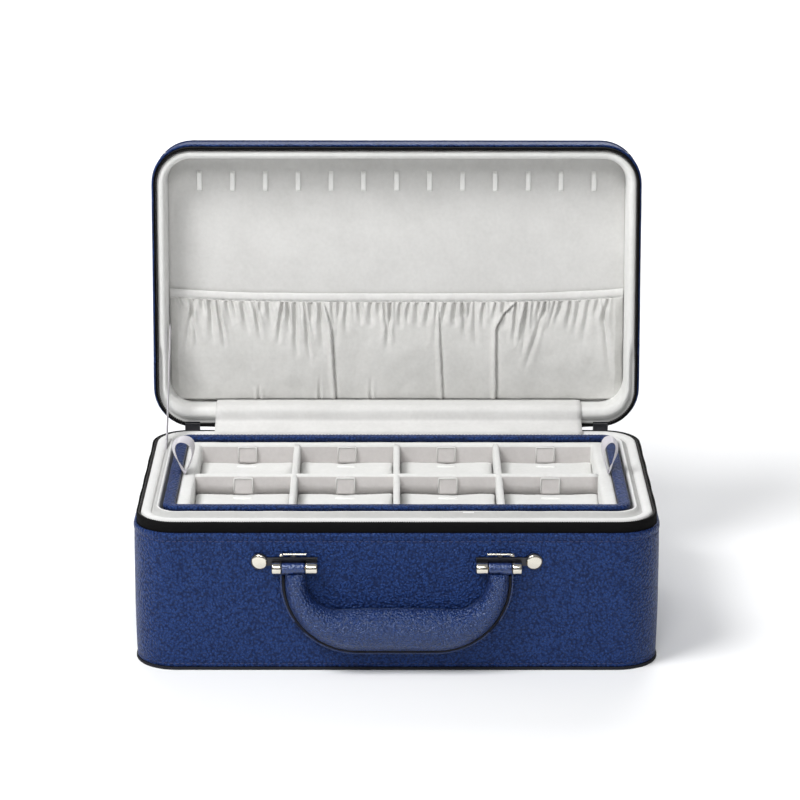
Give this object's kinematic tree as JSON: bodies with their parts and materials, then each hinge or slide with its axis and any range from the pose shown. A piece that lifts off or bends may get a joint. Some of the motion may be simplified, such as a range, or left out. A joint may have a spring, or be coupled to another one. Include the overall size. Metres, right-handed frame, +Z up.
{
  "type": "leather jewellery case",
  "caption": "Zipped leather jewellery case with a hinged lid, necklace loops, gathered lid pocket, lift-out divided tray and a padded front handle.",
  "frame": {"origin": "centre of the underside of the base, on the surface the case stands on", "axes": "+X to the right along the case's width, -Y out of the front where the handle is, +Z up"},
  "size_m": [0.3014, 0.2408, 0.2624],
  "materials": {
    "blue_leather": "soft pebbled leather, satin",
    "dark_leather": "soft pebbled leather, satin",
    "board": "raw fibreboard",
    "white_lining": "short napped microfibre over foam",
    "grey_lining": "short napped microfibre",
    "pocket_cloth": "soft gathered microfibre",
    "ribbon": "satin ribbon",
    "elastic": "woven elastic",
    "zip_tape": "woven zip tape",
    "zip_coil": "nylon coil",
    "nickel": "polished nickel plate",
    "brass_pin": "turned brass",
    "handle_foam": "dense felt filler"
  },
  "bodies": {
    "base": {"base_bottom_panel": "dark_leather", "base_leather": "blue_leather", "base_board": "board", "base_rim_lining": "white_lining", "base_inner_liner": "white_lining", "lower_liner": "grey_lining", "base_floor_pad": "white_lining", "base_zip_tape": "zip_tape", "base_zip_coil": "zip_coil", "zip_end_stops": "nickel", "hinge_strip": "dark_leather", "hinge_cover": "pocket_cloth", "lid_stay_ribbon": "ribbon", "bracket_left": "nickel", "bracket_right": "nickel", "bracket_pin_left": "brass_pin", "bracket_pin_right": "brass_pin", "bracket_rivets": "nickel", "rivet_washers": "nickel"},
    "lid": {"lid_leather": "blue_leather", "lid_top_panel": "dark_leather", "lid_board": "board", "lid_rim_lining": "white_lining", "lid_inner_panel": "grey_lining", "lid_zip_tape": "zip_tape", "lid_zip_coil": "zip_coil", "necklace_loops": "ribbon", "lid_pocket": "pocket_cloth", "pocket_hem": "pocket_cloth", "pocket_elastic": "elastic"},
    "tray": {"tray_leather": "blue_leather", "tray_board": "board", "tray_bottom_cover": "grey_lining", "tray_liner": "white_lining", "long_divider": "white_lining", "cross_divider_left": "white_lining", "cross_divider_middle": "white_lining", "cross_divider_right": "white_lining", "cell_back_tabs": "grey_lining", "cell_floor_tabs": "grey_lining", "pull_ribbon_left": "ribbon", "pull_ribbon_right": "ribbon", "cell_cushion_1": "white_lining", "cell_cushion_2": "white_lining", "cell_cushion_3": "white_lining", "cell_cushion_4": "white_lining", "cell_cushion_5": "white_lining", "cell_cushion_6": "white_lining", "cell_cushion_7": "white_lining", "cell_cushion_8": "white_lining"},
    "handle": {"handle_strap": "dark_leather", "handle_cover": "blue_leather", "handle_filler": "handle_foam"},
    "left_slider": {"slider_left": "nickel"},
    "right_slider": {"slider_right": "nickel"},
    "left_pull": {"pull_tab_left": "nickel"},
    "right_pull": {"pull_tab_right": "nickel"}
  },
  "joints": [
    {"name": "lid_hinge", "type": "hinge", "parent": "base", "child": "lid", "pos_m": [0, 0.0875, 0.0895], "axis": [-1, 0, 0], "range_deg": [-97, 0], "deforming": ["hinge_strip", "hinge_cover", "lid_stay_ribbon"]},
    {"name": "handle_swing", "type": "hinge", "parent": "base", "child": "handle", "pos_m": [0, -0.0923, 0.0634], "axis": [-1, 0, 0], "range_deg": [0, 150]},
    {"name": "tray_lift", "type": "slide", "parent": "base", "child": "tray", "axis": [0, 0, 1], "range_m": [0, 0.11]},
    {"name": "left_slider_travel", "type": "hinge", "parent": "base", "child": "left_slider", "pos_m": [-0.126, 0.0635, 0.0895], "axis": [0, 0, -1], "range_deg": [-90, 0]},
    {"name": "right_slider_travel", "type": "hinge", "parent": "base", "child": "right_slider", "pos_m": [0.126, 0.0635, 0.0895], "axis": [0, 0, 1], "range_deg": [-90, 0]},
    {"name": "left_pull_swing", "type": "hinge", "parent": "left_slider", "child": "left_pull", "pos_m": [-0.126, 0.0895, 0.0885], "axis": [1, 0, 0], "range_deg": [0, 70]},
    {"name": "right_pull_swing", "type": "hinge", "parent": "right_slider", "child": "right_pull", "pos_m": [0.126, 0.0895, 0.0885], "axis": [1, 0, 0], "range_deg": [0, 70]}
  ]
}
